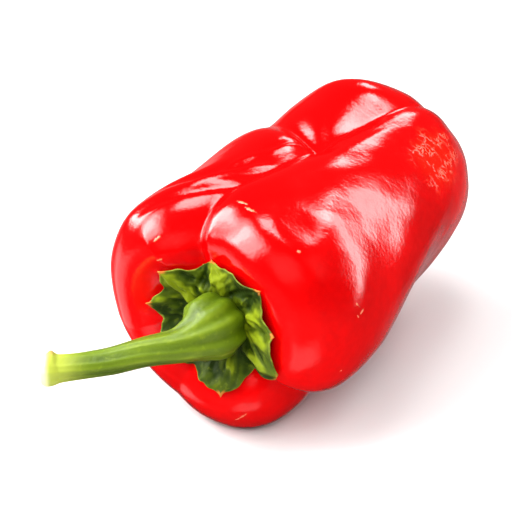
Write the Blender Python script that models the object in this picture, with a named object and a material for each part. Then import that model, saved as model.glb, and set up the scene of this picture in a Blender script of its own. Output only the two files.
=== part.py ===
"""A half-long red bell pepper, picked and lying on its side: the pod, the calyx and the stem.

The pod's axis runs along +Y, from the stem end to the blossom end, and +Z is up.
Every shape is worked out in the pod's own frame, whose origin is on the axis at the
plane of the shoulders, and the parent empty then stands the pepper on the ground.
Angles round the axis are in degrees from +X towards +Z.
"""

import bmesh
import bpy
import numpy as np

MM = 0.001

# ---- Driving dimensions, in metres ----
POD_RADIUS = 0.0385  # from the axis to the fullest lobe
POD_LENGTH = 0.124  # from the shoulders to the blossom end
AXIS_HEIGHT = 0.0355  # of the axis above the ground, at the shoulders
AXIS_RISE = 0.0050  # how much higher the axis ends at the blossom end
TWIST = -45.0  # degrees that the lobes turn along the pod
GAP = 0.0003  # between pieces that touch
CALYX_LIFT = 0.0006  # of the calyx's underside off the pod
CALYX_THICKNESS = 0.0016
CALYX_RADIUS = 0.0243  # from the axis; the teeth reach to shares of it
CALYX_SEAT = 0.0108  # radius of the flat middle that the stem grows from
STEM_THICKNESS = 0.0074  # across the middle of the stem

# ---- Mesh density ----
POD_SEGMENTS = 72
POD_RINGS = 60
CALYX_SEGMENTS = 60
CALYX_RINGS = 26
STEM_POINTS = 26
STEM_BEVEL_RESOLUTION = 4

# The turned outline of the pod, from the dimple under the stem, over the shoulder and
# along the side to the blossom end: (share of the length, share of the radius).
POD_OUTLINE = [
    (0.055, 0.0),
    (0.054, 0.14),
    (0.047, 0.27),
    (0.026, 0.40),
    (0.007, 0.52),
    (0.000, 0.64),
    (0.016, 0.77),
    (0.066, 0.91),
    (0.150, 0.985),
    (0.270, 1.0),
    (0.430, 0.97),
    (0.600, 0.90),
    (0.750, 0.81),
    (0.870, 0.69),
    (0.950, 0.52),
    (0.992, 0.30),
    (1.000, 0.14),
    (0.985, 0.0),
]

# The lobes at the stem end: (angle, reach at the stem end, in the middle and at the
# blossom end, and half-width), the last four as shares of the outline's radius.
LOBES = [
    (36.0, 1.02, 1.02, 1.02, 0.80),
    (351.0, 1.03, 0.95, 0.92, 0.80),
    (162.0, 1.11, 1.01, 1.04, 0.81),
    (219.0, 1.00, 0.97, 0.95, 0.82),
    (276.0, 1.03, 1.02, 0.98, 0.78),
]
LOBE_SHARPNESS = 26.0  # how tightly two lobes meet in the valley between them
LOBE_EVENING = 1.6  # brings the lobes that overlap back to their own reach
BLOSSOM_ROUNDING = 0.55  # how much the lobes widen into one round end

# Creases pressed in along the valleys between lobes: (angle, depth at the stem end, in the
# middle and at the blossom end, half-width below and above the angle, in degrees).
CREASES = [
    (108.5, 0.11, 0.115, 0.02, 7.5, 18.0),
    (315.5, 0.150, 0.08, 0.05, 10.0, 11.0),
    (246.0, 0.02, 0.01, 0.03, 10.0, 10.0),
    (190.0, 0.015, 0.02, 0.03, 10.0, 10.0),
]

# Hollows, and swellings where the depth is negative: (angle, share of the length, depth as a
# share of the radius, half-width in degrees, half-length as a share of the length, and the
# share by which the middle line moves along for each degree).
DENTS = [
    (110.0, 0.545, 0.085, 26.0, 0.055, 0.0024),
    (100.0, 0.515, 0.045, 15.0, 0.022, 0.0024),
    (104.0, 0.775, -0.090, 30.0, 0.100, 0.0),
    (30.0, 0.30, 0.030, 20.0, 0.110, 0.0),
    (131.0, 0.300, 0.050, 19.0, 0.110, 0.0),
    (275.0, 0.54, -0.065, 36.0, 0.150, 0.0),
    (138.0, 0.060, -0.020, 16.0, 0.050, 0.0),
    (120.0, 0.215, 0.032, 13.0, 0.034, -0.0040),
    (58.0, 0.110, 0.028, 13.0, 0.060, 0.0),
    (40.0, 0.060, -0.022, 14.0, 0.050, 0.0),
    (336.0, 0.560, 0.085, 27.0, 0.170, 0.0),
]

SHOULDER_SINK = 0.050  # of the valleys at the shoulder, as a share of the length
BLOSSOM_SINK = 0.040  # of the valleys at the blossom end
VALLEY_FROM = 1.02  # the section's reach at which a valley starts
VALLEY_DEPTH = 0.16  # how much less than that counts as a full valley

# Shares of the radius between which the section changes from round to lobed.
DIMPLE_LOBING = (0.15, 0.65)
BLOSSOM_LOBING = (0.02, 0.50)

# The calyx's teeth: (angle, reach of the tip as a share of the calyx's radius).
CALYX_TEETH = [
    (10.0, 0.93),
    (43.0, 0.96),
    (90.0, 0.90),
    (137.0, 0.81),
    (171.0, 0.75),
    (222.0, 0.80),
    (284.0, 0.85),
    (339.0, 1.08),
]
CALYX_NOTCH = 0.85  # reach half way between two teeth, as a share of theirs
CALYX_EDGE = 0.45  # thickness at the rim, as a share of the thickness in the middle
CALYX_SEAT_EDGE = 0.20  # least thickness round the flat middle, as the same share
TOOTH_CURL = 0.0022  # how far a tip curls off the pod
CURL_FROM, CURL_TO = 0.68, 0.86  # reach over which the curl grows

# The stem's centreline, from the calyx to the cut end, and its radius as a share of half
# the stem's thickness: (x, y, z, share), in millimetres from the stem's foot.
STEM_ROUTE = [
    (1.4, 0.0, 0.0, 2.25),
    (1.4, -2.0, 0.0, 2.43),
    (1.5, -5.5, 0.1, 2.45),
    (1.0, -8.2, -0.3, 2.24),
    (-0.6, -11.6, -1.0, 1.68),
    (-3.8, -15.2, -2.0, 1.30),
    (-10.8, -19.8, -3.5, 1.11),
    (-18.8, -24.4, -6.2, 1.03),
    (-25.8, -28.4, -7.7, 1.00),
    (-30.8, -31.4, -8.5, 1.06),
    (-32.8, -32.8, -8.7, 1.22),
    (-34.2, -33.7, -8.8, 1.22),
    (-35.0, -34.2, -8.8, 1.08),
]
STEM_FOOT = 0.86  # the widest the stem may be, as a share of the calyx's flat middle

POD_COLOUR = (0.62, 0.004, 0.006, 1.0)
CALYX_COLOUR = (0.07, 0.17, 0.02, 1.0)
STEM_COLOUR = (0.20, 0.38, 0.04, 1.0)


def catmull_rom(points, shares):
    """Points of a smooth curve through the given points, at shares of its length."""
    points = np.array(points, float)
    padded = np.vstack([2 * points[0] - points[1], points, 2 * points[-1] - points[-2]])
    fine = []
    for before, start, end, after in zip(padded, padded[1:], padded[2:], padded[3:]):
        for t in np.linspace(0, 1, 24, endpoint=False):
            fine.append(
                0.5 * (2 * start + (end - before) * t
                       + (2 * before - 5 * start + 4 * end - after) * t**2
                       + (3 * start - before - 3 * end + after) * t**3)
            )
    fine = np.array([*fine, points[-1]])
    lengths = np.linalg.norm(np.diff(fine, axis=0), axis=1)
    travelled = np.concatenate([[0], np.cumsum(lengths)]) / lengths.sum()
    return np.stack([np.interp(shares, travelled, column) for column in fine.T], axis=-1)


def blend3(start, middle, end, along):
    """A value that passes through start, middle and end as along goes from 0 to 1."""
    along = np.clip(along, 0, 1)
    left = 1 - along
    return start * left * (left - along) + 4 * middle * along * left + end * along * (along - left)


def smooth_step(low, high, value):
    """0 below low and 1 above high, with a smooth change between them."""
    t = np.clip((value - low) / (high - low), 0, 1)
    return t * t * (3 - 2 * t)


def turn_between(angle, other):
    """The angle from other to angle in degrees, between -180 and 180."""
    return (angle - other + 180) % 360 - 180


def lobed_section(angle, along):
    """The section's reach at an angle, as a share of the outline's radius: circles about
    points off the axis, one for each lobe, that melt into each other."""
    total = 0
    rounding = BLOSSOM_ROUNDING * smooth_step(0.55, 1.0, along)
    for centre, stem_end, middle, blossom_end, half_width in LOBES:
        reach = blend3(stem_end, middle, blossom_end, along)
        width = half_width + (reach - half_width) * rounding
        offset = reach - width
        turn = np.radians(turn_between(angle, centre))
        circle = offset * np.cos(turn) + np.sqrt(width**2 - (offset * np.sin(turn)) ** 2)
        total = total + circle**LOBE_SHARPNESS
    return (total / LOBE_EVENING) ** (1 / LOBE_SHARPNESS)


def crease_depth(angle, along):
    """How deep the creases between the lobes are, as a share of the outline's radius."""
    depth = 0
    for centre, stem_end, middle, blossom_end, below, above in CREASES:
        turn = turn_between(angle, centre)
        across = np.abs(turn) / np.where(turn < 0, below, above)
        depth = depth + blend3(stem_end, middle, blossom_end, along) * np.exp(-(across**1.4))
    return depth


def dent_depth(angle, along):
    """How deep the skin is dented, as a share of the outline's radius."""
    depth = 0
    for centre, place, deep, width, length, slant in DENTS:
        turn = turn_between(angle, centre)
        down = (along - place - slant * turn) / length
        depth = depth + deep * np.exp(-((turn / width) ** 2) - down**2)
    return depth


def pod_surface(share, angle):
    """Points of the pod's skin, at shares of the way from the dimple to the blossom end
    and at angles in degrees round the axis."""
    outline = catmull_rom(POD_OUTLINE, share)
    along, radius = outline[..., 0], outline[..., 1]
    local = angle - TWIST * along
    lobed = lobed_section(local, along)
    crease = crease_depth(local, along)
    lobing = np.where(
        along > 0.5, smooth_step(*BLOSSOM_LOBING, radius), smooth_step(*DIMPLE_LOBING, radius)
    )
    reach = radius * (1 + (lobed - 1 - crease) * lobing) - dent_depth(angle, along) * lobing
    valley = np.clip((VALLEY_FROM - lobed + crease) / VALLEY_DEPTH, 0, 1.6)
    at_shoulder = smooth_step(0.20, 0.60, radius) * (1 - smooth_step(0.02, 0.30, along))
    at_blossom = smooth_step(0.05, 0.35, radius) * smooth_step(0.72, 1.0, along)
    along = along + valley * (SHOULDER_SINK * at_shoulder - BLOSSOM_SINK * at_blossom)
    turn = np.radians(angle)
    rise = AXIS_RISE * smooth_step(0.15, 1.15, along)
    across, up = POD_RADIUS * reach * np.cos(turn), POD_RADIUS * reach * np.sin(turn) + rise
    return np.stack([across, POD_LENGTH * along, up], axis=-1)


def share_at_radius(radius):
    """The share of the way from the dimple's middle at which the outline, still short of
    the shoulder's crest, is this far from the axis."""
    shares = np.linspace(0, 0.25, 200)
    outline = catmull_rom(POD_OUTLINE, shares)[:, 1] * POD_RADIUS
    return np.interp(radius, outline, shares)


def calyx_reach(angle):
    """The calyx's reach at an angle, as a share of its radius: pointed teeth with shallow
    notches between them."""
    angle = np.asarray(angle, float) % 360
    teeth = sorted(CALYX_TEETH)
    starts = np.array([t[0] for t in teeth])
    ends = np.append(starts[1:], starts[0] + 360)
    tips = np.array([t[1] for t in teeth])
    place = np.where(angle < starts[0], angle + 360, angle)
    which = np.searchsorted(starts, place, side="right") - 1
    between = (place - starts[which]) / (ends[which] - starts[which])
    straight = tips[which] * (1 - between) + np.roll(tips, -1)[which] * between
    return straight * (1 - (1 - CALYX_NOTCH) * np.sin(np.pi * between) ** 0.7)


def uv_sphere(name, segments, rings, place):
    """A mesh object made from a sphere whose points are moved to place(down, angle),
    where down goes from 0 at the top pole to 1 at the bottom one."""
    mesh = bpy.data.meshes.new(name)
    sphere = bmesh.new()
    bmesh.ops.create_uvsphere(sphere, u_segments=segments, v_segments=rings, radius=1.0)
    points = np.array([v.co for v in sphere.verts])
    down = np.arccos(np.clip(points[:, 2], -1, 1)) / np.pi
    angle = np.degrees(np.arctan2(points[:, 1], points[:, 0]))
    for vertex, moved in zip(sphere.verts, place(down, angle)):
        vertex.co = moved
    if sphere.calc_volume(signed=True) < 0:
        bmesh.ops.reverse_faces(sphere, faces=sphere.faces)
    sphere.to_mesh(mesh)
    sphere.free()
    mesh.shade_smooth()
    return bpy.data.objects.new(name, mesh)


def material(name, colour, roughness):
    """A plain Principled material."""
    made = bpy.data.materials.new(name)
    made.use_nodes = True
    shader = made.node_tree.nodes["Principled BSDF"]
    shader.inputs["Base Color"].default_value = colour
    shader.inputs["Roughness"].default_value = roughness
    shader.inputs["Metallic"].default_value = 0.0
    return made


def make_pod():
    """The fruit: a lobed body, pressed flat where it rests on the ground."""

    def place(down, angle):
        points = pod_surface(down, angle)
        points[:, 2] = np.maximum(points[:, 2], -AXIS_HEIGHT)
        return points

    pod = uv_sphere("pod", POD_SEGMENTS, POD_RINGS, place)
    pod.data.materials.append(material("pod_skin", POD_COLOUR, 0.2))
    return pod


def seat_plane():
    """Where the calyx's flat middle faces the stem, along the pod's axis. It leaves the full
    thickness in the dimple's middle, and at least some of it where the dimple rises."""
    middle = POD_OUTLINE[0][0] * POD_LENGTH - CALYX_THICKNESS
    rim_share = share_at_radius(CALYX_SEAT)
    rim = pod_surface(np.full(360, rim_share), np.arange(360.0))[:, 1].min()
    return min(middle, rim - CALYX_SEAT_EDGE * CALYX_THICKNESS) - CALYX_LIFT


def make_calyx():
    """The green collar: a toothed sheet in the dimple, with its tips curled off the pod.
    The sphere's upper half becomes its outer face and the lower half its underside."""

    def place(down, angle):
        outward = 1 - np.abs(2 * down - 1)
        reach = outward * calyx_reach(angle)
        radius = CALYX_RADIUS * reach
        points = pod_surface(share_at_radius(radius), angle)
        curl = TOOTH_CURL * smooth_step(0.75, 1.0, outward) * smooth_step(CURL_FROM, CURL_TO, reach)
        under = points[:, 1] - CALYX_LIFT - curl
        thickness = CALYX_THICKNESS * (1 - (1 - CALYX_EDGE) * smooth_step(0.5, 1.0, outward))
        outer = under - thickness * (1 - outward**12)
        seat = 1 - smooth_step(CALYX_SEAT, CALYX_SEAT + 0.002, radius)
        outer = outer * (1 - seat) + seat_plane() * seat
        points[:, 1] = np.where(down < 0.5, outer, under)
        return points

    calyx = uv_sphere("calyx", CALYX_SEGMENTS, CALYX_RINGS, place)
    calyx.data.materials.append(material("calyx_green", CALYX_COLOUR, 0.6))
    return calyx


def make_stem():
    """The cut stem: a tube that flares where it grows from the calyx and swells a little
    at the cut end."""
    foot = np.array([0.0, seat_plane() - GAP, 0.0])
    widest = STEM_FOOT * CALYX_SEAT / (STEM_THICKNESS / 2)
    route = catmull_rom(STEM_ROUTE, np.linspace(0, 1, STEM_POINTS))
    curve = bpy.data.curves.new("stem", "CURVE")
    curve.dimensions = "3D"
    curve.bevel_depth = STEM_THICKNESS / 2
    curve.bevel_resolution = STEM_BEVEL_RESOLUTION
    curve.use_fill_caps = True
    spline = curve.splines.new("POLY")
    spline.points.add(len(route) - 1)
    for point, (x, y, z, share) in zip(spline.points, route):
        point.co = (*(foot + MM * np.array([x, y, z])), 1.0)
        point.radius = min(share, widest)
    spline.use_smooth = True
    curve.materials.append(material("stem_green", STEM_COLOUR, 0.45))
    return bpy.data.objects.new("stem", curve)


def stand_on_ground(pieces):
    """Parents the pieces to an empty that puts the middle of their underside at the origin."""
    layer = bpy.context.view_layer
    layer.update()
    graph = bpy.context.evaluated_depsgraph_get()
    corners = []
    for piece in pieces:
        evaluated = piece.evaluated_get(graph)
        mesh = evaluated.to_mesh()
        points = np.array([v.co for v in mesh.vertices])
        corners += [points.min(axis=0), points.max(axis=0)]
        evaluated.to_mesh_clear()
    low, high = np.min(corners, axis=0), np.max(corners, axis=0)
    frame = bpy.data.objects.new("pepper_frame", None)
    frame.location = (-(low[0] + high[0]) / 2, -(low[1] + high[1]) / 2, -low[2])
    return frame


def main():
    for old in list(bpy.data.objects):
        bpy.data.objects.remove(old, do_unlink=True)
    collection = bpy.data.collections.new("bell_pepper")
    bpy.context.scene.collection.children.link(collection)
    pieces = [make_pod(), make_calyx(), make_stem()]
    for piece in pieces:
        collection.objects.link(piece)
    frame = stand_on_ground(pieces)
    collection.objects.link(frame)
    for piece in pieces:
        piece.parent = frame


main()
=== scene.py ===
"""A half-long red bell pepper lying on its side on a pale floor: pod, calyx and cut stem."""

import math

import bpy
import numpy as np
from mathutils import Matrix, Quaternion, Vector


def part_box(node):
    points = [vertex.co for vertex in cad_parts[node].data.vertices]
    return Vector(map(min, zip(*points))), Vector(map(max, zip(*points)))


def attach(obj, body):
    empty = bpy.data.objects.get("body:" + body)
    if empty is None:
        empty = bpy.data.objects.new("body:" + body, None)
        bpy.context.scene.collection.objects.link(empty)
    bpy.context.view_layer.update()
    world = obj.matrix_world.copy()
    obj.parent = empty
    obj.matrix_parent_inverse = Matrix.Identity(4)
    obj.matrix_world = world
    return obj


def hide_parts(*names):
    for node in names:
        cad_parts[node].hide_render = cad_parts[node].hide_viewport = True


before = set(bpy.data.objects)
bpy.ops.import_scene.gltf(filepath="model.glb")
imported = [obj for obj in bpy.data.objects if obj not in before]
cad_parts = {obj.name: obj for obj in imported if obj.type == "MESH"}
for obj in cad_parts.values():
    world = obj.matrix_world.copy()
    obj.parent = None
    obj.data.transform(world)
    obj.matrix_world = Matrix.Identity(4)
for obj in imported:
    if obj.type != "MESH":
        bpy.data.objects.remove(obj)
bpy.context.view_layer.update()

MM = 0.001

# ---- The pod: the CAD model's surface, in the pod's own frame ----
# Its origin is on the axis at the plane of the shoulders, +Y runs to the blossom end, and
# angles are in degrees from +X towards +Z.
POD_RADIUS = 0.0385  # from the axis to the fullest lobe
POD_LENGTH = 0.124  # from the shoulders to the blossom end
AXIS_HEIGHT = 0.0355  # of the axis above the ground, at the shoulders
AXIS_RISE = 0.0050  # how much higher the axis ends at the blossom end
TWIST = -45.0  # degrees that the lobes turn along the pod

# The outline from the dimple to the blossom end: (share of the length, share of the radius).
POD_OUTLINE = [
    (0.055, 0.0),
    (0.054, 0.14),
    (0.047, 0.27),
    (0.026, 0.40),
    (0.007, 0.52),
    (0.000, 0.64),
    (0.016, 0.77),
    (0.066, 0.91),
    (0.150, 0.985),
    (0.270, 1.0),
    (0.430, 0.97),
    (0.600, 0.90),
    (0.750, 0.81),
    (0.870, 0.69),
    (0.950, 0.52),
    (0.992, 0.30),
    (1.000, 0.14),
    (0.985, 0.0),
]

# The lobes at the stem end: (angle, reach at the stem end, in the middle and at the
# blossom end, and half-width), the last four as shares of the outline's radius.
LOBES = [
    (36.0, 1.02, 1.02, 1.02, 0.80),
    (351.0, 1.03, 0.95, 0.92, 0.80),
    (162.0, 1.11, 1.01, 1.04, 0.81),
    (219.0, 1.00, 0.97, 0.95, 0.82),
    (276.0, 1.03, 1.02, 0.98, 0.78),
]
LOBE_SHARPNESS = 26.0  # how tightly two lobes meet in the valley between them
LOBE_EVENING = 1.6  # brings the lobes that overlap back to their own reach
BLOSSOM_ROUNDING = 0.55  # how much the lobes widen into one round end

# Creases along the valleys between lobes: (angle, depth at the stem end, in the middle and
# at the blossom end, half-width below and above the angle, in degrees).
CREASES = [
    (108.5, 0.11, 0.115, 0.02, 7.5, 18.0),
    (315.5, 0.150, 0.08, 0.05, 10.0, 11.0),
    (246.0, 0.02, 0.01, 0.03, 10.0, 10.0),
    (190.0, 0.015, 0.02, 0.03, 10.0, 10.0),
]

# Hollows, and swellings where the depth is negative: (angle, share of the length, depth as a
# share of the radius, half-width in degrees, half-length as a share of the length, and the
# share by which the middle line moves along for each degree).
DENTS = [
    (110.0, 0.545, 0.085, 26.0, 0.055, 0.0024),
    (100.0, 0.515, 0.045, 15.0, 0.022, 0.0024),
    (104.0, 0.775, -0.090, 30.0, 0.100, 0.0),
    (30.0, 0.30, 0.030, 20.0, 0.110, 0.0),
    (131.0, 0.300, 0.050, 19.0, 0.110, 0.0),
    (275.0, 0.54, -0.065, 36.0, 0.150, 0.0),
    (119.0, 0.122, 0.045, 15.0, 0.020, -0.0034),
    (138.0, 0.060, -0.020, 16.0, 0.050, 0.0),
    (120.0, 0.215, 0.032, 13.0, 0.034, -0.0040),
    (58.0, 0.110, 0.028, 13.0, 0.060, 0.0),
    (40.0, 0.060, -0.022, 14.0, 0.050, 0.0),
    (336.0, 0.560, 0.085, 27.0, 0.170, 0.0),
]

# Thin folds of skin beside the deepest crease: (angle in the turned lobes' frame where it
# starts and ends, share of the length where it starts and ends, height as a share of the
# radius, half-width in degrees).
FOLDS = [
    (126.0, 111.5, 0.15, 0.34, 0.022, 2.2),
    (124.0, 116.5, 0.24, 0.47, 0.016, 2.0),
    (119.5, 121.0, 0.27, 0.46, -0.014, 2.0),
    (99.5, 98.0, 0.32, 0.70, -0.006, 3.0),
    (318.5, 315.0, 0.06, 0.24, 0.010, 2.2),
]

# Gentle unevenness of the whole skin: (height in millimetres, waves round, waves along, phase).
SWELLS = [
    (0.22, 3, 1.3, 0.4),
    (0.17, 5, -2.1, 1.9),
    (0.10, 8, 3.4, 4.0),
    (0.055, 13, -4.3, 2.6),
    (0.03, 19, 7.1, 0.9),
]

SHOULDER_SINK = 0.050  # of the valleys at the shoulder, as a share of the length
BLOSSOM_SINK = 0.040  # of the valleys at the blossom end
VALLEY_FROM = 1.02  # the section's reach at which a valley starts
VALLEY_DEPTH = 0.16  # how much less than that counts as a full valley

# Shares of the radius between which the section changes from round to lobed.
DIMPLE_LOBING = (0.15, 0.65)
BLOSSOM_LOBING = (0.02, 0.50)

# Marks on the skin: (share of the way along the outline, angle, direction that the mark runs
# in, half-length and half-width in metres).
CRACK_PATCH = (0.640, 35.0, (-0.2, 1.0, -0.1), 0.0190, 0.0110)
SCRATCHES = [
    (0.367, 79.0, (9.0, -2.5, 0.9), 0.0040, 0.0006),
    (0.374, 86.0, (8.0, -1.5, 0.5), 0.0026, 0.0005),
    (0.400, 13.0, (1.3, 3.7, -5.1), 0.0018, 0.0005),
    (0.406, 9.0, (0.3, 5.0, 1.5), 0.0016, 0.0005),
    (0.398, 8.0, (0.5, -2.0, 4.0), 0.0014, 0.0004),
    (0.358, 47.0, (1.0, 0.0, 0.0), 0.0007, 0.0006),
    (0.382, 343.0, (1.0, 1.0, 0.0), 0.0008, 0.0006),
    (0.283, 128.0, (1.5, 1.8, 2.0), 0.0018, 0.0005),
    (0.222, 133.0, (1.7, 0.4, 0.8), 0.0016, 0.0004),
    (0.290, 290.0, (9.4, -0.7, 7.7), 0.0056, 0.0004),
]

# ---- The calyx ----
CALYX_RADIUS = 0.0243  # from the axis; the teeth reach to shares of it
CALYX_SEAT = 0.0108  # radius of the middle that the stem grows from
CALYX_THICKNESS = 1.5 * MM  # in the middle
CALYX_EDGE = 0.35 * MM  # and at the rim
CALYX_LIFT = 0.4 * MM  # between the calyx and the pod, before the folds
LEAST_LIFT = 0.15 * MM
FOLD_HEIGHT = 0.78 * MM
MOAT_DEPTH, MOAT_WIDTH = 0.5 * MM, 1.4 * MM  # of the groove round the stem's foot

# (angle, reach of the tip as a share of the radius, curl of the tip off the pod in mm)
CALYX_TEETH = [
    (10.0, 0.93, 1.3),
    (43.0, 0.96, 1.4),
    (90.0, 0.90, 1.0),
    (137.0, 0.81, 1.5),
    (171.0, 0.75, 1.5),
    (222.0, 0.80, 1.4),
    (284.0, 0.85, 1.6),
    (339.0, 1.08, 2.4),
]
CALYX_NOTCH = 0.85  # reach half way between two teeth, as a share of theirs
NOTCH_SHARPNESS = 0.62
TIP_WIDTH = 0.10  # of a tooth's rusty tip, as a share of the way to the next tooth

# Waves round the calyx: (height, count, phase). The rim's are shares of the radius, and the
# edge's are in millimetres.
RIM_WAVES = [(0.014, 11, 1.0), (0.010, 19, 4.0), (0.006, 37, 2.0)]
EDGE_WAVES = [(0.5, 7, 0.7), (0.4, 12, 2.5)]

# Knuckles where the calyx gathers round the stem's foot, raised and coloured brighter as a painted
# highlight: (angle, share of the way out, height as a share of a fold's, half-width in degrees,
# half-length as a share of the way out).
KNUCKLES = [
    (91.0, 0.70, 1.5, 7.0, 0.30),
    (117.0, 0.60, 1.3, 6.5, 0.12),
    (152.0, 0.62, 1.3, 8.0, 0.13),
    (48.0, 0.56, 1.2, 8.0, 0.09),
    (20.0, 0.60, 0.9, 7.0, 0.12),
    (205.0, 0.62, 1.0, 9.0, 0.14),
    (262.0, 0.62, 1.0, 8.0, 0.14),
    (300.0, 0.64, 1.1, 8.0, 0.16),
    (335.0, 0.70, 1.1, 7.0, 0.20),
]

# ---- The stem: centreline from the calyx to the cut end, in millimetres from its foot, and
# the radius in millimetres ----
STEM_ROUTE = [
    (1.4, 0.0, 0.0, 8.4),
    (1.4, -2.0, 0.0, 9.1),
    (1.5, -5.5, 0.1, 9.2),
    (1.0, -8.2, -0.3, 8.3),
    (-0.6, -11.6, -1.0, 6.2),
    (-3.8, -15.2, -2.0, 4.8),
    (-10.8, -19.8, -3.5, 4.1),
    (-18.8, -24.4, -6.2, 3.8),
    (-25.8, -28.4, -7.7, 3.7),
    (-30.8, -31.4, -8.5, 3.9),
    (-32.8, -32.8, -8.7, 4.5),
    (-34.2, -33.7, -8.8, 4.5),
    (-35.0, -34.2, -8.8, 4.0),
]
STEM_LIFT = 2.5 * MM  # of the foot above the dimple's middle
STEM_TWIST = 0.9  # radians that the ribs turn along the stem
RIB_HEIGHT = 0.060  # as a share of the radius
STEM_RIBS = [(0.6, 5, 0.6), (0.25, 11, 2.0), (0.15, 17, 0.0)]  # (share of the height, count, phase)
END_DOME, END_HOLLOW = 0.9 * MM, 0.8 * MM  # how far the cut end bulges, and sinks in its middle

# ---- How finely the surfaces are divided ----
POD_SEGMENTS, POD_RINGS = 384, 240
SHOULDER_CROWDING = 0.035  # how far the pod's rings crowd to where its skin turns most
CALYX_SEGMENTS, CALYX_RINGS = 360, 44  # the rings on each of its two faces
STEM_SEGMENTS, STEM_RINGS, STEM_END_RINGS = 96, 220, 12
CURVE_STEPS = 24  # between two points of an outline or a route

# ---- Light and camera: azimuth 0 is in front of the stem end, and 90 to its right ----
# (name, azimuth, elevation, distance, width, height, power, roll)
SOFTBOXES = [
    ("right_core", 147.5, 21.0, 1.2, 0.23, 1.70, 2.6, -30.0),
    ("right_halo", 146.0, 20.0, 1.25, 0.44, 2.00, 3.8, -30.0),
    ("back_left", -166.0, 21.0, 1.2, 0.30, 0.32, 0.75, 0.0),
    ("left_core", -54.0, 42.0, 1.2, 0.50, 1.15, 7.0, 0.0),
    ("left_halo", -50.0, 42.0, 1.25, 1.40, 1.50, 26.0, 0.0),
    ("left_back", -93.0, 27.0, 1.2, 0.62, 0.95, 10.5, 0.0),
    ("top", -150.0, 79.0, 1.2, 0.58, 0.62, 5.5, 0.0),
    ("far_patch", 161.0, 47.0, 1.2, 0.46, 0.46, 2.6, 0.0),
]
# These lie below the floor, which glossy rays don't meet, and stand in for its reflection.
GLOWS = [
    ("floor_glow", -76.0, -26.0, 1.2, 1.40, 1.00, 2.6, 0.0),
    ("front_glow", 30.0, -40.0, 1.5, 2.20, 1.10, 3.2, 0.0),
    ("back_glow", -150.0, -24.0, 1.5, 2.80, 1.20, 1.0, 0.0),
]
# These light the skin but don't show in it.
FILLS = [
    ("right_fill", 105.0, 38.0, 1.5, 1.0, 1.0, 6.0, 0.0),
    ("front_fill", 25.0, 40.0, 1.5, 1.2, 1.2, 17.0, 0.0),
]
SOFTBOX_AIM = (0.0, 0.0, 0.03)
FADE_FROM = 0.22  # how far from the middle a softbox starts to fade, where 0.5 is its edge
FADE_PEAK = 1.55  # its middle's brightness, which makes up for the dim edges

FLOOR_SIZE = 8.0
FLOOR_GREY = 0.60
WORLD_STRENGTH = 0.04

CAMERA_AZIMUTH, CAMERA_ELEVATION, CAMERA_DISTANCE = 30.0, 27.5, 0.80
CAMERA_AIM = (0.0030, 0.0215, 0.0130)  # in the pod's own frame
FRAME_WIDTH = 0.1425  # how much the picture shows at that distance
SENSOR_WIDTH = 36.0


# ---- The shared surface ----
def catmull_rom(points, shares):
    """Points of a smooth curve through the given points, at shares of its length."""
    points = np.array(points, float)
    padded = np.vstack([2 * points[0] - points[1], points, 2 * points[-1] - points[-2]])
    fine = []
    for before, start, end, after in zip(padded, padded[1:], padded[2:], padded[3:]):
        for t in np.linspace(0, 1, CURVE_STEPS, endpoint=False):
            fine.append(
                0.5 * (2 * start + (end - before) * t
                       + (2 * before - 5 * start + 4 * end - after) * t**2
                       + (3 * start - before - 3 * end + after) * t**3)
            )
    fine = np.array([*fine, points[-1]])
    lengths = np.linalg.norm(np.diff(fine, axis=0), axis=1)
    travelled = np.concatenate([[0], np.cumsum(lengths)]) / lengths.sum()
    return np.stack([np.interp(shares, travelled, column) for column in fine.T], axis=-1)


def blend3(start, middle, end, along):
    """A value that passes through start, middle and end as along goes from 0 to 1."""
    along = np.clip(along, 0, 1)
    left = 1 - along
    return start * left * (left - along) + 4 * middle * along * left + end * along * (along - left)


def smooth_step(low, high, value):
    """0 below low and 1 above high, with a smooth change between them."""
    t = np.clip((value - low) / (high - low), 0, 1)
    return t * t * (3 - 2 * t)


def bell(value, centre, half_width):
    """1 at the centre, falling away smoothly on both sides."""
    return np.exp(-(((value - centre) / half_width) ** 2))


def sine_waves(waves, turn):
    """The sum of waves round a piece: (height, count, phase) each."""
    return sum(height * np.sin(turn * count + phase) for height, count, phase in waves)


def turn_between(angle, other):
    """The angle from other to angle in degrees, between -180 and 180."""
    return (angle - other + 180) % 360 - 180


def lobed_section(angle, along):
    """The section's reach at an angle, as a share of the outline's radius."""
    total = 0
    rounding = BLOSSOM_ROUNDING * smooth_step(0.55, 1.0, along)
    for centre, stem_end, middle, blossom_end, half_width in LOBES:
        reach = blend3(stem_end, middle, blossom_end, along)
        width = half_width + (reach - half_width) * rounding
        offset = reach - width
        turn = np.radians(turn_between(angle, centre))
        circle = offset * np.cos(turn) + np.sqrt(width**2 - (offset * np.sin(turn)) ** 2)
        total = total + circle**LOBE_SHARPNESS
    return (total / LOBE_EVENING) ** (1 / LOBE_SHARPNESS)


def crease_depth(angle, along):
    """How deep the creases between the lobes are, as a share of the outline's radius."""
    depth = 0
    for centre, stem_end, middle, blossom_end, below, above in CREASES:
        turn = turn_between(angle, centre)
        across = np.abs(turn) / np.where(turn < 0, below, above)
        depth = depth + blend3(stem_end, middle, blossom_end, along) * np.exp(-(across**1.4))
    return depth


def dent_depth(angle, along):
    """How deep the skin is dented, as a share of the outline's radius."""
    depth = 0
    for centre, place, deep, width, length, slant in DENTS:
        turn = turn_between(angle, centre)
        down = (along - place - slant * turn) / length
        depth = depth + deep * np.exp(-((turn / width) ** 2) - down**2)
    return depth


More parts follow.
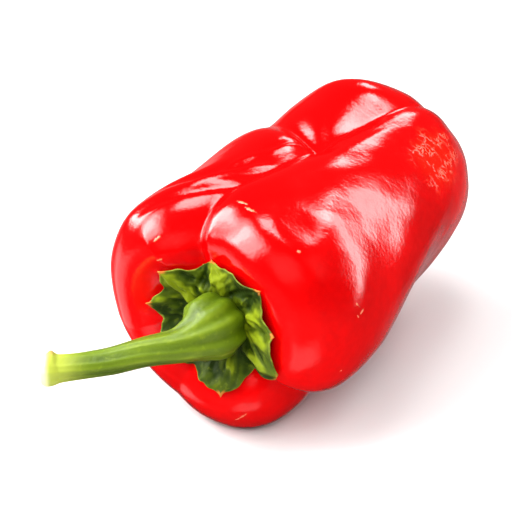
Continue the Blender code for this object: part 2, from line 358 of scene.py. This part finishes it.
def fold_height(angle, along):
    """How high the thin folds stand, as a share of the outline's radius."""
    height = 0
    for start, end, first, last, high, width in FOLDS:
        place = np.clip((along - first) / (last - first), 0, 1)
        across = turn_between(angle, start + (end - start) * place) / width
        fade = smooth_step(first - 0.03, first + 0.06, along)
        fade = fade * (1 - smooth_step(last - 0.06, last + 0.03, along))
        height = height + high * fade * np.exp(-(across**2))
    return height


def swell_height(angle, along):
    """The gentle unevenness of the skin, in metres."""
    height = 0
    for high, round_waves, along_waves, phase in SWELLS:
        wave = np.radians(angle) * round_waves + 2 * np.pi * along_waves * along + phase
        height = height + MM * high * np.sin(wave)
    return height


def pod_surface(share, angle, fine=True):
    """Points of the pod's skin, at shares of the way from the dimple to the blossom end and
    at angles in degrees round the axis. The folds and swells are left out unless fine."""
    outline = catmull_rom(POD_OUTLINE, share)
    along, radius = outline[..., 0], outline[..., 1]
    local = angle - TWIST * along
    lobed = lobed_section(local, along)
    crease = crease_depth(local, along)
    lobing = np.where(
        along > 0.5, smooth_step(*BLOSSOM_LOBING, radius), smooth_step(*DIMPLE_LOBING, radius)
    )
    reach = radius * (1 + (lobed - 1 - crease) * lobing) - dent_depth(angle, along) * lobing
    if fine:
        relief = fold_height(local, along) + swell_height(angle, along) / POD_RADIUS
        reach = reach + relief * lobing
    valley = np.clip((VALLEY_FROM - lobed + crease) / VALLEY_DEPTH, 0, 1.6)
    at_shoulder = smooth_step(0.20, 0.60, radius) * (1 - smooth_step(0.02, 0.30, along))
    at_blossom = smooth_step(0.05, 0.35, radius) * smooth_step(0.72, 1.0, along)
    along = along + valley * (SHOULDER_SINK * at_shoulder - BLOSSOM_SINK * at_blossom)
    turn = np.radians(angle)
    rise = AXIS_RISE * smooth_step(0.15, 1.15, along)
    across, up = POD_RADIUS * reach * np.cos(turn), POD_RADIUS * reach * np.sin(turn) + rise
    return np.stack([across, POD_LENGTH * along, up], axis=-1)


def share_at_radius(radius):
    """The share of the way at which the outline, short of the shoulder, has this radius."""
    shares = np.linspace(0, 0.25, 200)
    outline = catmull_rom(POD_OUTLINE, shares)[:, 1] * POD_RADIUS
    return np.interp(radius, outline, shares)


# ---- Meshes ----
def grid_mesh(name, rings, first_pole, last_pole):
    """A closed mesh from rings of points, with a fan of faces to a pole at each end."""
    count, segments = rings.shape[:2]
    points = rings.reshape(-1, 3).tolist()
    faces = []
    for ring in range(count - 1):
        for i in range(segments):
            a, b = ring * segments + i, ring * segments + (i + 1) % segments
            faces.append((a, b, b + segments, a + segments))
    for pole, ring in ((first_pole, 0), (last_pole, count - 1)):
        centre = len(points)
        points.append(list(pole))
        for i in range(segments):
            a, b = ring * segments + i, ring * segments + (i + 1) % segments
            faces.append((b, a, centre) if ring == 0 else (a, b, centre))
    mesh = bpy.data.meshes.new(name)
    mesh.from_pydata(points, [], faces)
    mesh.validate()
    mesh.shade_smooth()
    made = bpy.data.objects.new(name, mesh)
    bpy.context.scene.collection.objects.link(made)
    return made


def add_attribute(piece, name, values):
    """Stores one number for each point, for the material to read. The poles take the last."""
    full = np.full(len(piece.data.vertices), values.ravel()[-1])
    full[: values.size] = values.ravel()
    piece.data.attributes.new(name, "FLOAT", "POINT").data.foreach_set("value", full)


# ---- Placing: the pod's frame is put where the CAD pod's box is ----
def pod_points():
    """Rings of points on the pod's skin, from the dimple to the blossom end."""
    shares = np.linspace(0, 1, POD_RINGS + 2)
    shares = shares - SHOULDER_CROWDING * np.sin(2 * np.pi * shares)
    angles = np.arange(POD_SEGMENTS) * 360 / POD_SEGMENTS
    points = pod_surface(*np.meshgrid(shares, angles, indexing="ij"))
    points[..., 2] = np.maximum(points[..., 2], -AXIS_HEIGHT)
    return points


POD_POINTS = pod_points()
POD_LOW, POD_HIGH = POD_POINTS.min(axis=(0, 1)), POD_POINTS.max(axis=(0, 1))
BOX_LOW, BOX_HIGH = (np.array(corner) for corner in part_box("pod"))
FIT = (BOX_HIGH - BOX_LOW) / (POD_HIGH - POD_LOW)


def in_row_frame(points):
    """Moves points from the pod's own frame to the frame of the CAD model."""
    return (points - POD_LOW) * FIT + BOX_LOW


def on_skin(share, angle):
    """A point on the pod's skin, in the frame of the CAD model."""
    return in_row_frame(pod_surface(np.array([share]), np.array([angle]))[0])


# ---- Materials ----
class Nodes:
    """A few shorthands for building the nodes of a material or a light."""

    def __init__(self, owner):
        owner.use_nodes = True
        self.owner = owner
        self.tree = owner.node_tree

    def put(self, socket, value):
        """Links another node's output to a socket, or sets a plain value on it."""
        if isinstance(value, bpy.types.NodeSocket):
            self.tree.links.new(value, socket)
        else:
            socket.default_value = value

    def add(self, kind, settings=(), **inputs):
        """A new node, with its settings set and its named inputs filled."""
        node = self.tree.nodes.new("ShaderNode" + kind)
        for name, value in dict(settings).items():
            setattr(node, name, value)
        for name, value in inputs.items():
            self.put(node.inputs[name.replace("_", " ")], value)
        return node

    def math(self, operation, *values):
        node = self.add("Math", {"operation": operation})
        for socket, value in zip(node.inputs, values):
            self.put(socket, value)
        return node.outputs[0]

    def plus(self, first, second):
        return self.math("ADD", first, second)

    def times(self, first, second):
        return self.math("MULTIPLY", first, second)

    def largest(self, first, *others):
        for other in others:
            first = self.math("MAXIMUM", first, other)
        return first

    def rise(self, value, low, high, **ends):
        """0 up to low and 1 from high on, or the To_Min and To_Max that are given."""
        smooth = {"interpolation_type": "SMOOTHSTEP"}
        node = self.add("MapRange", smooth, Value=value, From_Min=low, From_Max=high, **ends)
        return node.outputs["Result"]

    def fall(self, value, low, high):
        """1 up to low and 0 from high on."""
        return self.math("SUBTRACT", 1.0, self.rise(value, low, high))

    def place(self):
        return self.add("TexCoord").outputs["Object"]

    def noise(self, scale, detail, output="Fac"):
        return self.add("TexNoise", Vector=self.place(), Scale=scale, Detail=detail).outputs[output]

    def attribute(self, name):
        return self.add("Attribute", {"attribute_name": name}).outputs["Fac"]

    def mix(self, fac, first, second):
        """A blend of two colours. A Mix node's sockets for colours are found by number."""
        node = self.add("Mix", {"data_type": "RGBA"})
        for index, value in ((0, fac), (6, first), (7, second)):
            self.put(node.inputs[index], value)
        return node.outputs[2]

    def mark(self, share, angle, direction, length, width):
        """The distance from a mark on the pod's skin, measured so that it is 1 on an
        ellipsoid round it, of that half-length and half-width."""
        turn = Vector(direction).normalized().to_track_quat("X", "Z").to_euler()
        mapped = self.add(
            "Mapping", {"vector_type": "TEXTURE"}, Vector=self.place(),
            Location=on_skin(share, angle), Rotation=turn, Scale=(length, width, width),
        )
        size = self.add("VectorMath", {"operation": "LENGTH"}, Vector=mapped.outputs["Vector"])
        return size.outputs["Value"]

    def bump(self, height, strength, distance, **under):
        """Bumps by a height, on top of another bump when its Normal is given."""
        node = self.add("Bump", Height=height, Strength=strength, Distance=distance, **under)
        return node.outputs["Normal"]

    def finish(self, **values):
        """Sets the shader's own sockets, and returns the material."""
        shader = self.tree.nodes["Principled BSDF"]
        for name, value in values.items():
            self.put(shader.inputs[name.replace("_", " ")], value)
        return self.owner


def new_nodes(name):
    """The nodes of a new material."""
    return Nodes(bpy.data.materials.new(name))


def rgb(red, green, blue):
    return (red, green, blue, 1.0)


def pale_specks(nodes):
    """1 in small specks, a few to the palm's width."""
    cells = nodes.add("TexVoronoi", {"feature": "F1"}, Vector=nodes.place(), Scale=52.0)
    chosen = nodes.rise(nodes.noise(75.0, 0.0), 0.50, 0.58)
    return nodes.times(nodes.fall(cells.outputs["Distance"], 0.010, 0.022), chosen)


def crack_patch(nodes):
    """A ragged patch, and the fine branching cracks in it."""
    edge = nodes.plus(nodes.mark(*CRACK_PATCH), nodes.times(nodes.noise(170.0, 3.0), 0.9))
    inside = nodes.fall(edge, 0.85, 1.45)
    swirl = nodes.noise(260.0, 3.0, "Color")
    shift = nodes.add("VectorMath", {"operation": "SCALE"}, Vector=swirl, Scale=0.007)
    warped = nodes.add("VectorMath", {"operation": "ADD"}, Vector=shift.outputs["Vector"])
    nodes.put(warped.inputs[1], nodes.place())
    to_edge = {"feature": "DISTANCE_TO_EDGE"}
    web = nodes.add("TexVoronoi", to_edge, Vector=warped.outputs["Vector"], Scale=330.0)
    lines = nodes.times(nodes.fall(web.outputs["Distance"], 0.0, 0.13), inside)
    return inside, nodes.times(lines, nodes.rise(nodes.noise(210.0, 3.0), 0.42, 0.60))


def short_scratches(nodes):
    """1 in the scratches, which have ragged edges."""
    scratches = []
    for scratch in SCRATCHES:
        ragged = nodes.plus(nodes.mark(*scratch), nodes.times(nodes.noise(1300.0, 3.0), 1.6))
        scratches.append(nodes.fall(ragged, 1.0, 1.7))
    return nodes.largest(*scratches)


def skin_material():
    nodes = new_nodes("pepper_skin")
    deep, bright = rgb(0.44, 0.0003, 0.0006), rgb(0.66, 0.0005, 0.0010)
    pale, orange, salmon = rgb(0.83, 0.36, 0.16), rgb(0.86, 0.12, 0.015), rgb(0.82, 0.11, 0.05)
    patches = nodes.rise(nodes.noise(26.0, 3.0), 0.35, 0.68)
    mottle = nodes.rise(nodes.noise(420.0, 3.0), 0.30, 0.75)
    tone = nodes.plus(nodes.times(patches, 0.75), nodes.times(mottle, 0.25))
    specks = pale_specks(nodes)
    patch, cracks = crack_patch(nodes)
    scratches = short_scratches(nodes)
    colour = nodes.mix(tone, deep, bright)
    colour = nodes.mix(nodes.times(specks, 0.75), colour, pale)
    colour = nodes.mix(nodes.times(patch, 0.06), colour, orange)
    colour = nodes.mix(nodes.times(cracks, 0.80), colour, salmon)
    colour = nodes.mix(nodes.times(scratches, 0.5), colour, pale)
    sheen = nodes.add("MapRange", Value=nodes.noise(60.0, 3.0), To_Min=0.09, To_Max=0.13)
    marks = nodes.largest(scratches, nodes.largest(cracks, specks))
    rough = nodes.plus(sheen.outputs["Result"], nodes.times(marks, 0.3))
    fine = nodes.bump(nodes.noise(950.0, 2.0), 0.22, 0.0002)
    broad = nodes.bump(nodes.noise(120.0, 2.0), 0.22, 0.0008, Normal=fine)
    lifted = nodes.bump(marks, 0.5, 0.0002, Normal=broad)
    return nodes.finish(Base_Color=colour, Roughness=rough, Normal=lifted, IOR=1.47)


def calyx_material():
    nodes = new_nodes("calyx_skin")
    dark, green = rgb(0.013, 0.027, 0.0005), rgb(0.048, 0.074, 0.0010)
    bright, lime, rust = rgb(0.170, 0.220, 0.004), rgb(0.23, 0.28, 0.03), rgb(0.42, 0.14, 0.02)
    spots = nodes.noise(230.0, 4.0)
    unevenness = nodes.times(nodes.math("SUBTRACT", spots, 0.5), 1.1)
    # The fold's height sets the colour below: painted shade in the hollows between the folds and a
    # painted highlight on their ridges and knuckles.
    height = nodes.plus(nodes.attribute("fold"), unevenness)
    veins = nodes.rise(nodes.noise(700.0, 3.0), 0.55, 0.75)
    rim = nodes.plus(nodes.attribute("rim"), nodes.times(spots, 0.10))
    colour = nodes.mix(nodes.rise(height, -0.5, 0.35), dark, green)
    colour = nodes.mix(nodes.rise(height, 0.35, 1.1), colour, bright)
    colour = nodes.mix(nodes.times(veins, 0.25), colour, bright)
    colour = nodes.mix(nodes.rise(rim, 1.02, 1.07), colour, lime)
    colour = nodes.mix(nodes.rise(nodes.attribute("tip"), 0.10, 0.60), colour, rust)
    fine = nodes.bump(nodes.noise(1300.0, 3.0), 0.35, 0.0003)
    broad = nodes.bump(nodes.noise(360.0, 3.0), 0.5, 0.0009, Normal=fine)
    return nodes.finish(Base_Color=colour, Roughness=0.58, Normal=broad, Specular_IOR_Level=0.15)


def stem_material():
    nodes = new_nodes("stem_skin")
    dark, green, bright = rgb(0.044, 0.076, 0.001), rgb(0.088, 0.138, 0.002), rgb(0.26, 0.33, 0.010)
    yellow, cream = rgb(0.33, 0.38, 0.04), rgb(0.66, 0.62, 0.34)
    pith, bark = rgb(0.30, 0.20, 0.05), rgb(0.36, 0.24, 0.05)
    along, cut = nodes.attribute("along"), nodes.attribute("cut")
    cloud = nodes.times(nodes.math("SUBTRACT", nodes.noise(95.0, 3.0), 0.5), 1.3)
    # The ribs' height sets the tone: a painted highlight on their crests and painted shade in the
    # grooves between them, over random cloudiness.
    tone = nodes.plus(nodes.times(nodes.attribute("rib"), 0.38), cloud)
    streak = nodes.rise(nodes.noise(480.0, 4.0), 0.55, 0.85)
    core = nodes.times(nodes.rise(cut, 1.05, 1.4), nodes.rise(nodes.noise(600.0, 3.0), 0.35, 0.65))
    knob = nodes.plus(nodes.attribute("knob"), nodes.noise(700.0, 3.0))
    colour = nodes.mix(nodes.rise(tone, -0.55, 0.15), dark, green)
    colour = nodes.mix(nodes.rise(tone, 0.15, 1.0), colour, bright)
    colour = nodes.mix(nodes.times(streak, 0.35), colour, bright)
    colour = nodes.mix(nodes.rise(along, 0.74, 0.97), colour, yellow)
    colour = nodes.mix(nodes.rise(along, 0.955, 0.990), colour, cream)
    colour = nodes.mix(nodes.rise(cut, 0.25, 0.75), colour, cream)
    colour = nodes.mix(nodes.times(core, 0.7), colour, pith)
    colour = nodes.mix(nodes.rise(knob, 0.95, 1.3), colour, bark)
    fine = nodes.bump(nodes.noise(900.0, 3.0), 0.45, 0.0003)
    broad = nodes.bump(nodes.noise(260.0, 2.0), 0.25, 0.0006, Normal=fine)
    return nodes.finish(Base_Color=colour, Roughness=0.45, Normal=broad, Specular_IOR_Level=0.25)


# ---- Pieces ----
def make_pod():
    points = in_row_frame(POD_POINTS)
    first, last = points[0].mean(axis=0), points[-1].mean(axis=0)
    pod = grid_mesh("pod_skin_surface", points[1:-1][:, ::-1], first, last)
    pod.data.materials.append(skin_material())
    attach(pod, "root")
    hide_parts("pod")


def calyx_rim(angle):
    """The calyx's reach, how much its edge curls, and how near a tooth's tip an angle is."""
    teeth = np.array(sorted(CALYX_TEETH))
    starts, tips, curls = teeth.T
    ends = np.append(starts[1:], starts[0] + 360)
    place = np.where(angle < starts[0], angle + 360, angle)
    which = np.searchsorted(starts, place, side="right") - 1
    between = (place - starts[which]) / (ends[which] - starts[which])
    straight = tips[which] * (1 - between) + np.roll(tips, -1)[which] * between
    curl = curls[which] * (1 - between) + np.roll(curls, -1)[which] * between
    notch = np.sin(np.pi * between) ** NOTCH_SHARPNESS
    ragged = sine_waves(RIM_WAVES, np.radians(angle)) * notch
    reach = straight * (1 - (1 - CALYX_NOTCH) * notch) + ragged
    tip = np.clip(1 - np.minimum(between, 1 - between) / TIP_WIDTH, 0, 1)
    return reach, curl * (1 - 0.55 * notch), tip


def calyx_folds(angle, outward):
    """Radial folds of the calyx, mostly between -1 and 1, that grow from the stem's foot.
    The first two waves are the folds, and the others crumple them."""
    turn = np.radians(angle)
    wander = 0.9 * np.sin(4 * outward + 2 * turn) + 0.6 * np.sin(7 * outward - 3 * turn + 1)
    folds = 0.75 * np.sin(5 * turn + 1.2 + wander) + 0.5 * np.sin(8 * turn + 2.4 - 2 * wander)
    crumples = [
        0.22 * np.sin(14 * turn + 5 * outward + wander) * np.sin(3 * turn + 9 * outward),
        0.16 * np.sin(19 * outward + 4 * np.sin(3 * turn)),
        0.40 * np.sin(23 * turn + 9 * outward + 2 * wander) * np.sin(17 * outward + 5 * turn),
        0.16 * np.sin(37 * turn - 12 * outward) * np.sin(29 * outward + 7 * turn + wander),
    ]
    for crumple in crumples:
        folds = folds + crumple
    folds = folds * smooth_step(0.30, 0.55, outward) * (1 - 0.45 * smooth_step(0.80, 1.0, outward))
    for centre, place, height, width, length in KNUCKLES:
        across = turn_between(angle, centre) / width
        folds = folds + height * np.exp(-(across**2) - ((outward - place) / length) ** 2)
    return folds


def make_calyx():
    """A sheet that follows the dimple, folded and curled, with an outer face and an
    underside that meet at the rim."""
    angles = np.arange(CALYX_SEGMENTS) * 360 / CALYX_SEGMENTS
    outward = np.linspace(0, 1, CALYX_RINGS + 1)[1:] ** 0.85
    outward, angle = np.meshgrid(outward, angles, indexing="ij")
    rim, curl_height, tip = calyx_rim(angle)
    radius = CALYX_RADIUS * outward * rim
    skin = pod_surface(share_at_radius(radius), angle, fine=False)
    fold = calyx_folds(angle, outward)
    curl = MM * curl_height * smooth_step(0.62, 1.0, outward) ** 1.5
    wave = MM * sine_waves(EDGE_WAVES, np.radians(angle)) * smooth_step(0.72, 1.0, outward)
    folded = FOLD_HEIGHT * (fold + 0.8) * smooth_step(0.35, 0.6, outward)
    lift = np.maximum(CALYX_LIFT + folded + wave + curl, LEAST_LIFT)
    moat = MOAT_DEPTH * bell(radius, CALYX_SEAT, MOAT_WIDTH)
    thickness = CALYX_THICKNESS - (CALYX_THICKNESS - CALYX_EDGE) * smooth_step(0.4, 1.0, outward)
    under, outer = skin.copy(), skin.copy()
    under[..., 1] -= lift
    outer[..., 1] -= lift + thickness - moat
    points = in_row_frame(np.concatenate([outer, under[::-1]]))
    calyx = grid_mesh("calyx_surface", points, points[0].mean(axis=0), points[-1].mean(axis=0))
    rusty = tip * smooth_step(0.93, 1.0, outward)
    # The folds' heights also go to the material, which paints shade in their hollows and a
    # highlight on their ridges.
    for name, values in (("rim", outward), ("fold", fold), ("tip", rusty)):
        add_attribute(calyx, name, np.concatenate([values, values[::-1]]))
    calyx.data.materials.append(calyx_material())
    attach(calyx, "root")
    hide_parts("calyx")


def stem_directions(centre):
    """Unit vectors ahead along the centreline, to its side and up, for each of its points."""
    ahead = np.gradient(centre, axis=0)
    ahead /= np.linalg.norm(ahead, axis=1)[:, None]
    side = np.cross(ahead, [0.0, 0.0, 1.0])
    side /= np.linalg.norm(side, axis=1)[:, None]
    return ahead, side, np.cross(side, ahead)


def stem_relief(share, turn):
    """The ribs between -1 and 1, the brown knob near the cut end in millimetres, and all
    that stands out from the stem besides the ribs, in millimetres."""
    twisted = turn + STEM_TWIST * share
    rib = sum(high * np.cos(count * twisted + phase) for high, count, phase in STEM_RIBS)
    from_top = np.radians(turn_between(np.degrees(turn), 90.0))
    knob = 0.9 * bell(share, 0.945, 0.022) * bell(from_top, -0.1, 0.55)
    hump = 0.8 * bell(share, 0.16, 0.05) * bell(from_top, 0.0, 0.6)
    flutes = 0.45 * np.cos(9 * turn + 1.0 + 4 * share) * (1 - smooth_step(0.10, 0.32, share))
    lip = 0.35 * np.sin(3 * turn + 0.8) * smooth_step(0.93, 1.0, share)
    return rib, knob, hump + flutes + knob + lip


def make_stem():
    """A ribbed tube along the route, closed at the cut end by rings over a sunken face."""
    shares = np.linspace(0, 1, STEM_RINGS)
    route = catmull_rom(STEM_ROUTE, shares)
    seat = np.array([0.0, POD_OUTLINE[0][0] * POD_LENGTH - STEM_LIFT, 0.0])
    centre, radius = seat + route[:, :3] * MM, route[:, 3:] * MM
    ahead, side, up = stem_directions(centre)
    turns = np.arange(STEM_SEGMENTS) * 2 * np.pi / STEM_SEGMENTS
    share, turn = np.meshgrid(shares, turns, indexing="ij")
    rib, knob, relief = stem_relief(share, turn)
    fade = smooth_step(-0.10, 0.20, share) * (1 - 0.6 * smooth_step(0.88, 1.0, share))
    reach = radius * (1 + RIB_HEIGHT * rib * fade) + MM * relief
    out = np.cos(turn)[..., None] * side[:, None] + np.sin(turn)[..., None] * up[:, None]
    tube = centre[:, None] + out * reach[..., None]

    inward = np.linspace(1, 0, STEM_END_RINGS + 2)[1:-1, None, None]
    bulge = END_DOME * np.sqrt(1 - inward**2) - END_HOLLOW * (1 - inward) ** 2
    cap = centre[-1] + out[-1] * reach[-1][:, None] * inward + ahead[-1] * bulge

    points = in_row_frame(np.concatenate([tube, cap]))[:, ::-1]
    stem = grid_mesh("stem_surface", points, points[0].mean(axis=0), points[-1].mean(axis=0))
    # The ribs' heights also go to the material, which paints shade between them and a highlight on
    # their crests.
    for name, values in (("rib", rib), ("knob", knob), ("along", share)):
        over_end = np.repeat(values[-1:], STEM_END_RINGS, axis=0)
        add_attribute(stem, name, np.concatenate([values, over_end])[:, ::-1])
    cut = np.concatenate([np.zeros(STEM_RINGS), np.linspace(0.5, 1.5, STEM_END_RINGS)])
    add_attribute(stem, "cut", np.repeat(cut, STEM_SEGMENTS))
    stem.data.materials.append(stem_material())
    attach(stem, "root")
    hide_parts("stem")


# ---- Floor, lights, camera ----
def make_floor():
    bpy.ops.mesh.primitive_plane_add(size=FLOOR_SIZE, location=(0, 0, 0))
    floor = bpy.context.object
    floor.name = "floor"
    grey = rgb(FLOOR_GREY, FLOOR_GREY, FLOOR_GREY)
    floor.data.materials.append(new_nodes("pale_floor").finish(Base_Color=grey, Roughness=0.6))
    floor.visible_glossy = False


def around(azimuth, elevation, distance):
    """A place at an azimuth, an elevation and a distance from the pepper."""
    a, e = math.radians(azimuth), math.radians(elevation)
    return Vector((math.sin(a) * math.cos(e), -math.cos(a) * math.cos(e), math.sin(e))) * distance


def fade_edges(light):
    """Dims a softbox smoothly towards its edges."""
    nodes = Nodes(light)
    place = nodes.add("NewGeometry").outputs["Parametric"]
    split = nodes.add("SeparateXYZ", Vector=place)
    fades = []
    for axis in ("X", "Y"):
        from_middle = nodes.math("ABSOLUTE", nodes.math("SUBTRACT", split.outputs[axis], 0.5))
        fades.append(nodes.rise(from_middle, FADE_FROM, 0.5, To_Min=FADE_PEAK, To_Max=0.0))
    nodes.put(nodes.tree.nodes["Emission"].inputs["Strength"], nodes.times(*fades))


def make_softbox(name, azimuth, elevation, distance, width, height, power, roll):
    light = bpy.data.lights.new(name, "AREA")
    light.shape = "RECTANGLE"
    light.size, light.size_y, light.energy = width, height, power
    fade_edges(light)
    box = bpy.data.objects.new(name, light)
    aim = Vector(SOFTBOX_AIM)
    box.location = aim + around(azimuth, elevation, distance)
    facing = (aim - box.location).to_track_quat("-Z", "Y")
    box.rotation_euler = (facing @ Quaternion((0, 0, 1), math.radians(roll))).to_euler()
    bpy.context.scene.collection.objects.link(box)
    return box


def make_lights():
    for softbox in SOFTBOXES + GLOWS:
        make_softbox(*softbox)
    for softbox in FILLS:
        make_softbox(*softbox).visible_glossy = False
    world = bpy.data.worlds.new("studio")
    world.use_nodes = True
    background = world.node_tree.nodes["Background"]
    background.inputs["Color"].default_value = rgb(1.0, 1.0, 1.0)
    background.inputs["Strength"].default_value = WORLD_STRENGTH
    bpy.context.scene.world = world
    bpy.context.scene.view_settings.view_transform = "Standard"


def make_camera():
    camera = bpy.data.cameras.new("camera")
    camera.sensor_width = SENSOR_WIDTH
    camera.lens = SENSOR_WIDTH * CAMERA_DISTANCE / FRAME_WIDTH
    placed = bpy.data.objects.new("camera", camera)
    aim = Vector(in_row_frame(np.array(CAMERA_AIM)))
    back = around(CAMERA_AZIMUTH, CAMERA_ELEVATION, 1.0)
    placed.location = aim + back * CAMERA_DISTANCE
    placed.rotation_euler = (-back).to_track_quat("-Z", "Y").to_euler()
    bpy.context.scene.collection.objects.link(placed)
    bpy.context.scene.camera = placed


make_pod()
make_calyx()
make_stem()
make_floor()
make_lights()
make_camera()
